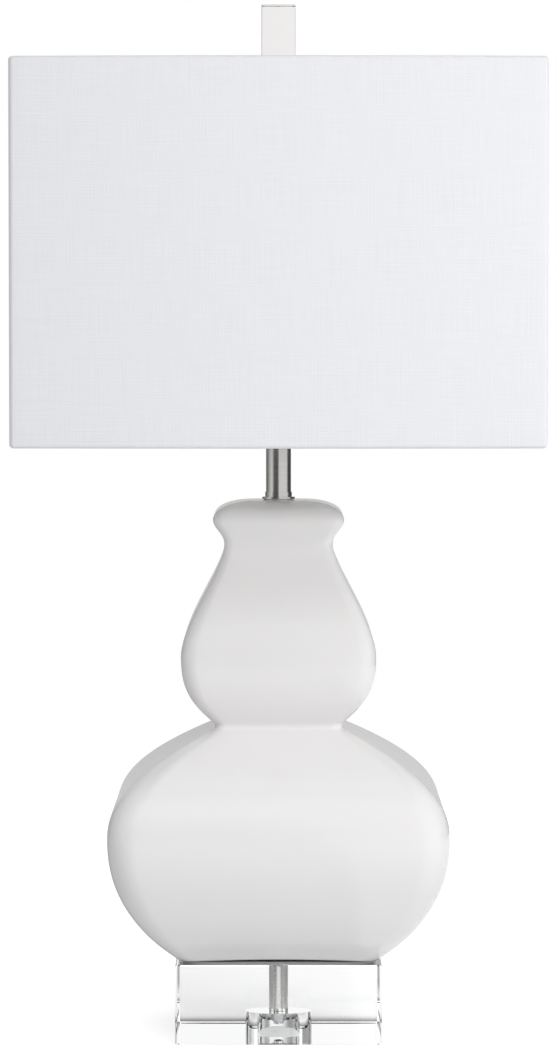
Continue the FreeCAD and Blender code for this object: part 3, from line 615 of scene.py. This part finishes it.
# The turned and bent nickel pieces: steel with a brushed nickel plate, its fine lines
# running round each turned piece as the lathe's pad left them.
def lines_group():
    """Fine brushed lines round the upright axis: a noise that is stretched along the turn
    and squeezed along the height, from 0 to 1."""
    group = bpy.data.node_groups.new("brushed_lines", "ShaderNodeTree")
    group.interface.new_socket("Vector", in_out="INPUT", socket_type="NodeSocketVector")
    group.interface.new_socket("Fineness", in_out="INPUT", socket_type="NodeSocketFloat")
    group.interface.new_socket("Lines", in_out="OUTPUT", socket_type="NodeSocketFloat")
    start = node(group, "NodeGroupInput")
    finish = node(group, "NodeGroupOutput")
    parts = node(group, "ShaderNodeSeparateXYZ")
    height = node(group, "ShaderNodeMath", operation="MULTIPLY")
    joined = node(group, "ShaderNodeCombineXYZ")
    noise = node(group, "ShaderNodeTexNoise", {"Scale": 60.0, "Detail": 5.0, "Roughness": 0.7})
    link(group, (start, "Vector", parts, 0),
         (parts, "Z", height, 0),
         (start, "Fineness", height, 1),
         (parts, "X", joined, "X"),
         (parts, "Y", joined, "Y"),
         (height, 0, joined, "Z"),
         (joined, 0, noise, "Vector"),
         (noise, "Fac", finish, "Lines"))
    return group


brushed_lines = lines_group()


def metal(name, colour, dark_colour, roughness, fineness, bump_strength):
    """A plated metal whose colour, roughness and relief follow its brushed lines."""
    made, tree, shader = new_material(name)
    place = node(tree, "ShaderNodeTexCoord")
    lines = node(tree, "ShaderNodeGroup", node_tree=brushed_lines)
    lines.inputs["Fineness"].default_value = fineness
    tint = node(tree, "ShaderNodeMix", data_type="RGBA")
    tint.inputs["A"].default_value = dark_colour
    tint.inputs["B"].default_value = colour
    rough = node(tree, "ShaderNodeMapRange", {"From Min": 0.3, "From Max": 0.7,
                                              "To Min": roughness * 0.8,
                                              "To Max": roughness * 1.25})
    bump = node(tree, "ShaderNodeBump", {"Strength": bump_strength, "Distance": 0.0002})
    link(tree, (place, "Object", lines, "Vector"),
         (lines, "Lines", tint, "Factor"),
         (tint, "Result", shader, "Base Color"),
         (lines, "Lines", rough, "Value"),
         (rough, "Result", shader, "Roughness"),
         (lines, "Lines", bump, "Height"),
         (bump, "Normal", shader, "Normal"))
    shader.inputs["Metallic"].default_value = 1.0
    return made


nickel = metal("brushed_nickel", (0.60, 0.59, 0.575, 1), (0.47, 0.46, 0.45, 1),
               roughness=0.20, fineness=60, bump_strength=0.08)
dress(["check_ring", "neck_tube", "harp_saddle", "saddle_lock_nut", "harp_wire",
       "ferrule_left", "ferrule_right", "harp_swivel_stud", "socket_cap",
       "socket_outer_shell", "finial_base"], nickel)


# The steel that clamps the lamp together, all zinc plated: the threaded rod, the washer and
# nut below the block, and the screw that holds the socket's cap.
zinc = metal("zinc_plate", (0.70, 0.71, 0.72, 1), (0.55, 0.56, 0.58, 1),
             roughness=0.20, fineness=30, bump_strength=0.10)
dress(["bottom_steel_washer", "bottom_hex_nut", "threaded_pipe", "cap_set_screw"], zinc)


# The sleeve in the block: a bright steel tube pressed into the hole, so that the crystal
# lies against it all round. Each ring of the grid is one corner of its wall's section.
def turned_points(rings, columns=96):
    """Points of a piece that is turned round the lamp's axis. A ring is a radius r and a
    height z, and its points are (r cos t, r sin t, z) at even steps of t."""
    t = np.linspace(0, 2 * math.pi, columns, endpoint=False)
    r, z = np.array(rings).T[:, :, None]
    return np.stack(np.broadcast_arrays(r * np.cos(t), r * np.sin(t), z), -1)


sleeve_low, sleeve_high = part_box("block_rod_sleeve")
sleeve_radius = 6.5 * mm
sleeve_bore = 5.5 * mm
sleeve_edge = 0.15 * mm
sleeve_sharp = math.radians(30)
sleeve_corners = [(sleeve_bore, sleeve_low[2]), (sleeve_radius - sleeve_edge, sleeve_low[2]),
                  (sleeve_radius, sleeve_low[2] + sleeve_edge),
                  (sleeve_radius, sleeve_high[2] - sleeve_edge),
                  (sleeve_radius - sleeve_edge, sleeve_high[2]), (sleeve_bore, sleeve_high[2])]
bright_steel = metal("bright_steel", (0.74, 0.735, 0.73, 1), (0.62, 0.615, 0.61, 1),
                     roughness=0.16, fineness=30, bump_strength=0.05)
sleeve = grid_surface("rod_sleeve", turned_points(sleeve_corners), bright_steel, along=True)
sleeve.data.set_sharp_from_angle(angle=sleeve_sharp)
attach(sleeve, "lamp_base")
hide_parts("block_rod_sleeve")


# The brass of the socket: the screw shell that takes the bulb, the centre contact and the
# two terminal screws.
brass = metal("socket_brass", (0.72, 0.55, 0.28, 1), (0.55, 0.40, 0.19, 1),
              roughness=0.26, fineness=20, bump_strength=0.08)
dress(["centre_contact", "terminal_screws", "screw_shell"], brass)


# The rubber pieces: the black bush in the cord outlet, and the grey pad that keeps the
# ceramic foot off the crystal.
def moulded(name, colour, other_colour, roughness, grain, bump_strength):
    """Rubber, plastic, board or enamel: a faint mottle in colour and gloss, and a fine skin."""
    made, tree, shader = new_material(name)
    place = node(tree, "ShaderNodeTexCoord")
    mottle = node(tree, "ShaderNodeTexNoise", {"Scale": 35.0, "Detail": 4.0})
    skin = node(tree, "ShaderNodeTexNoise", {"Scale": grain, "Detail": 3.0})
    tint = node(tree, "ShaderNodeMix", data_type="RGBA")
    tint.inputs["A"].default_value = colour
    tint.inputs["B"].default_value = other_colour
    rough = node(tree, "ShaderNodeMapRange", {"To Min": roughness * 0.85,
                                              "To Max": roughness * 1.15})
    bump = node(tree, "ShaderNodeBump", {"Strength": bump_strength, "Distance": 0.0002})
    link(tree, (place, "Object", mottle, "Vector"),
         (place, "Object", skin, "Vector"),
         (mottle, "Fac", tint, "Factor"),
         (tint, "Result", shader, "Base Color"),
         (mottle, "Fac", rough, "Value"),
         (rough, "Result", shader, "Roughness"),
         (skin, "Fac", bump, "Height"),
         (bump, "Normal", shader, "Normal"))
    return made


black_rubber = moulded("black_rubber", (0.030, 0.030, 0.032, 1), (0.05, 0.05, 0.05, 1),
                       roughness=0.75, grain=900, bump_strength=0.25)
grey_rubber = moulded("grey_rubber", (0.42, 0.42, 0.42, 1), (0.34, 0.34, 0.34, 1),
                      roughness=0.7, grain=700, bump_strength=0.2)
dress(["cord_grommet"], black_rubber)
dress(["seat_gasket"], grey_rubber)


# The washer under the crystal: pale rubber, moulded with rolled edges, and with a thin film
# of air above it. Each ring of the grid lies on a rectangle that is rounded by raising the
# circle's cosine and sine to a small power.
washer_low, washer_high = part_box("bottom_rubber_washer")
washer_bore = 5.5 * mm
washer_air = 0.15 * mm
roll_power = 0.35
roll_steps = 40


def bulge(wave):
    """A wave between -1 and 1, made fuller by the roll's power."""
    return np.sign(wave) * np.abs(wave) ** roll_power


def between(low, high, place):
    """The size at each place, from -1 at the low one to 1 at the high one."""
    return (high + low) / 2 + (high - low) / 2 * place


roll = np.linspace(0, 2 * math.pi, roll_steps, endpoint=False)
washer_r = between(washer_bore, washer_high[0], bulge(np.cos(roll)))
washer_z = between(washer_low[2], washer_high[2] - washer_air, bulge(np.sin(roll)))
pale_rubber = moulded("pale_rubber", (0.62, 0.63, 0.62, 1), (0.54, 0.55, 0.54, 1),
                      roughness=0.5, grain=700, bump_strength=0.15)
washer = grid_surface("rubber_washer", turned_points(np.stack([washer_r, washer_z], -1)),
                      pale_rubber, along=True)
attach(washer, "lamp_base")
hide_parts("bottom_rubber_washer")


# The plastic and board pieces: a white bush in the top hole, the socket's black core, the
# knob and its shaft, and the brown insulating sleeve inside the socket's shell.
white_plastic = moulded("white_plastic", (0.82, 0.82, 0.80, 1), (0.76, 0.76, 0.74, 1),
                        roughness=0.45, grain=600, bump_strength=0.1)
black_plastic = moulded("black_plastic", (0.022, 0.022, 0.024, 1), (0.035, 0.035, 0.035, 1),
                        roughness=0.3, grain=500, bump_strength=0.08)
fibre_board = moulded("fibre_board", (0.23, 0.16, 0.10, 1), (0.16, 0.11, 0.07, 1),
                      roughness=0.85, grain=1200, bump_strength=0.4)
dress(["centring_washer"], white_plastic)
dress(["socket_core", "switch_shaft", "switch_knob"], black_plastic)
dress(["socket_liner"], fibre_board)


# The shade's frame: two wire rings and four spider arms, soldered and dipped in white
# enamel, with the fitter washer in the middle.
white_wire = moulded("white_enamel", (0.80, 0.80, 0.79, 1), (0.73, 0.73, 0.71, 1),
                     roughness=0.35, grain=300, bump_strength=0.15)
dress(["shade_top_frame", "shade_bottom_ring"], white_wire)


# The lining: stiff white backing board that the linen is laminated to, smooth inside. It
# holds the linen flat between the two wire rings.
backing = moulded("shade_backing", (0.84, 0.835, 0.82, 1), (0.80, 0.795, 0.78, 1),
                  roughness=0.5, grain=800, bump_strength=0.1)
dress(["shade_lining"], backing)


# The linen skin: one strip of white linen glued round the backing, with an overlapped seam
# at the back, and turned in over both wire rings.
shade_half = 180.0
side_radius = 2508.0
shade_corner = 3.5
shade_bottom = 405.7
shade_top = 658.7
hem_depth = 8.0
hem_inset = 5.5
fold_height = 2.4
cloth_thickness = 0.6
seam_place = math.radians(2.2)
seam_overlap = 9.0
seam_ramp = 3.0
seam_lift = 0.7
arm_notch = 1.9
notch_slack_inward = 0.3
notch_slack_down = 1.0
linen_colour = (0.765, 0.770, 0.793, 1)
linen_dark_colour = (0.70, 0.705, 0.73, 1)


def shade_arcs(half, radius, corner):
    """How far a side's arc is centred beyond the axis, how far out a corner's arc is
    centred, and the facing, from the side's middle, at which one passes into the other."""
    reach = radius - half
    centre = (math.sqrt(2 * (radius - corner) ** 2 - reach ** 2) - reach) / 2
    return reach, centre, math.atan2(centre, centre + reach)


def shade_outline(half, radius, corner, facing):
    """Points of a square whose sides bow out and whose corners are round, given by the
    way that each faces: the centre of its arc plus the arc's radius that way."""
    reach, centre, spread = shade_arcs(half, radius, corner)
    quarter = np.round(facing / (math.pi / 2))
    middle = quarter * math.pi / 2
    bend = facing - middle
    on_side = np.abs(bend) <= spread
    diagonal = middle + np.sign(bend) * math.pi / 4
    hub_x = np.where(on_side, -reach * np.cos(middle), math.sqrt(2) * centre * np.cos(diagonal))
    hub_y = np.where(on_side, -reach * np.sin(middle), math.sqrt(2) * centre * np.sin(diagonal))
    arm = np.where(on_side, radius, corner)
    return np.stack([hub_x + arm * np.cos(facing), hub_y + arm * np.sin(facing)], -1)


def shade_facings():
    """Facing angles from the seam once round and on over the overlap, with extra points at
    the corners, the notches for the spider arms and the seam's edge."""
    spread = shade_arcs(shade_half, side_radius, shade_corner)[2]
    seam = math.pi / 2 + seam_place
    last = seam + 2 * math.pi + seam_overlap / side_radius
    stops = [seam, last]
    for quarter in range(1, 7):
        middle = quarter * math.pi / 2
        stops += list(middle + np.linspace(-spread, spread, 45))
        stops += list(middle + spread + np.linspace(0, math.pi / 2 - 2 * spread, 13))
        stops += [middle - arm_notch / side_radius, middle + arm_notch / side_radius]
    ramp = seam_overlap + seam_ramp * np.array([0, 0.5, 1])
    stops += list(last - ramp / side_radius)
    stops = np.unique(np.round(stops, 7))
    return stops[(stops >= seam - 1e-6) & (stops <= last + 1e-6)]


facing = shade_facings()

# The path up the cloth, as depth behind the face and height. It starts inside at the lower
# hem, goes round the fold, which is half an ellipse, up the wall, and in again at the top.
fold = np.linspace(math.pi, 2 * math.pi, 11)
low_fold = np.stack([hem_inset / 2 * (1 - np.cos(fold)),
                     shade_bottom + fold_height + fold_height * np.sin(fold)], -1)
wall_rows = np.linspace(shade_bottom + fold_height, shade_top - fold_height, 26)[1:-1]
wall_path = np.stack([np.zeros_like(wall_rows), wall_rows], -1)
low_hem = np.linspace(shade_bottom + hem_depth, shade_bottom + fold_height, 5)[:-1]
low_hem = np.stack([np.full_like(low_hem, hem_inset), low_hem], -1)
half_path = np.concatenate([low_hem, low_fold, wall_path])
top_part = np.concatenate([low_hem, low_fold])[::-1] * [1, -1] + [0, shade_bottom + shade_top]
cloth_path = np.concatenate([half_path, top_part])
outline_now = shade_outline(shade_half, side_radius, shade_corner, facing)
outward = np.stack([np.cos(facing), np.sin(facing)], -1)
steps = np.linalg.norm(np.diff(outline_now, axis=0), axis=1)
around_cloth = np.concatenate([[0], np.cumsum(steps)])
up_steps = np.linalg.norm(np.diff(cloth_path, axis=0), axis=1)
up_cloth = np.concatenate([[0], np.cumsum(up_steps)])
past_ramp = around_cloth - around_cloth[-1] + seam_overlap + seam_ramp
lift = seam_lift * np.clip(past_ramp / seam_ramp, 0, 1)
inset = cloth_path[:, :1] - np.where(cloth_path[:, :1] < hem_inset / 2, 1, 0) * lift[None, :]
flat_points = outline_now[None] - outward[None] * inset[..., None]
heights = np.broadcast_to(cloth_path[:, 1:], inset.shape)
linen_points = mm * np.concatenate([flat_points, heights[..., None]], -1)
linen_uv = np.stack(np.broadcast_arrays(mm * around_cloth[None, :], mm * up_cloth[:, None]), -1)


def outside_notches(faces, points):
    """Leaves out the faces of the upper turned-in edge where a spider arm passes."""
    middle = points[faces].mean(1) / mm
    near_arm = np.minimum(np.abs(middle[:, 0]), np.abs(middle[:, 1])) < arm_notch
    inner_half = shade_half - hem_inset + notch_slack_inward
    turned_in = np.maximum(np.abs(middle[:, 0]), np.abs(middle[:, 1])) < inner_half
    upper = middle[:, 2] > shade_top - hem_depth - notch_slack_down
    return ~(near_arm & turned_in & upper)


linen, tree, shader = new_material("white_linen")
cloth = node(tree, "ShaderNodeUVMap", uv_map="cloth")
weft_map = node(tree, "ShaderNodeMapping", {"Scale": (26, 1500, 1)})
warp_map = node(tree, "ShaderNodeMapping", {"Scale": (1500, 26, 1)})
weft_slubs = node(tree, "ShaderNodeTexNoise", {"Scale": 1.0, "Detail": 3.0, "Roughness": 0.6})
warp_slubs = node(tree, "ShaderNodeTexNoise", {"Scale": 1.0, "Detail": 3.0, "Roughness": 0.6})
weft_threads = node(tree, "ShaderNodeTexWave", {"Scale": 340.0, "Distortion": 2.5, "Detail": 2.0,
                                                "Detail Scale": 0.6}, bands_direction="Y")
warp_threads = node(tree, "ShaderNodeTexWave", {"Scale": 340.0, "Distortion": 2.5, "Detail": 2.0,
                                                "Detail Scale": 0.6}, bands_direction="X")
slubs = node(tree, "ShaderNodeMath", operation="ADD")
threads = node(tree, "ShaderNodeMath", operation="ADD")
slub_tint = node(tree, "ShaderNodeMapRange", {"From Min": 0.60, "From Max": 1.55,
                                              "To Min": 0.0, "To Max": 1.0})
tint = node(tree, "ShaderNodeMix", data_type="RGBA")
tint.inputs["A"].default_value = linen_dark_colour
tint.inputs["B"].default_value = linen_colour
relief = node(tree, "ShaderNodeMath", {1: 0.5}, operation="MULTIPLY_ADD")
bump = node(tree, "ShaderNodeBump", {"Strength": 0.25, "Distance": 0.0003})
link(tree, (cloth, 0, weft_map, 0),
     (cloth, 0, warp_map, 0),
     (weft_map, 0, weft_slubs, "Vector"),
     (warp_map, 0, warp_slubs, "Vector"),
     (cloth, 0, weft_threads, "Vector"),
     (cloth, 0, warp_threads, "Vector"),
     (weft_slubs, "Fac", slubs, 0),
     (warp_slubs, "Fac", slubs, 1),
     (weft_threads, "Fac", threads, 0),
     (warp_threads, "Fac", threads, 1),
     (slubs, 0, slub_tint, "Value"),
     (slub_tint, "Result", tint, "Factor"),
     (tint, "Result", shader, "Base Color"),
     (threads, 0, relief, 0),
     (slubs, 0, relief, 2),
     (relief, 0, bump, "Height"),
     (bump, "Normal", shader, "Normal"))
shader.inputs["Roughness"].default_value = 0.9
shader.inputs["Specular IOR Level"].default_value = 0.2
shader.inputs["Sheen Weight"].default_value = 0.15
shader.inputs["Sheen Roughness"].default_value = 0.5

skin = grid_surface("linen_skin", linen_points, linen, around=False, uv=linen_uv,
                    keep=outside_notches)
thickness = skin.modifiers.new("thickness", "SOLIDIFY")
thickness.thickness = cloth_thickness * mm
thickness.offset = -1
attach(skin, "shade")
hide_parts("shade_linen")
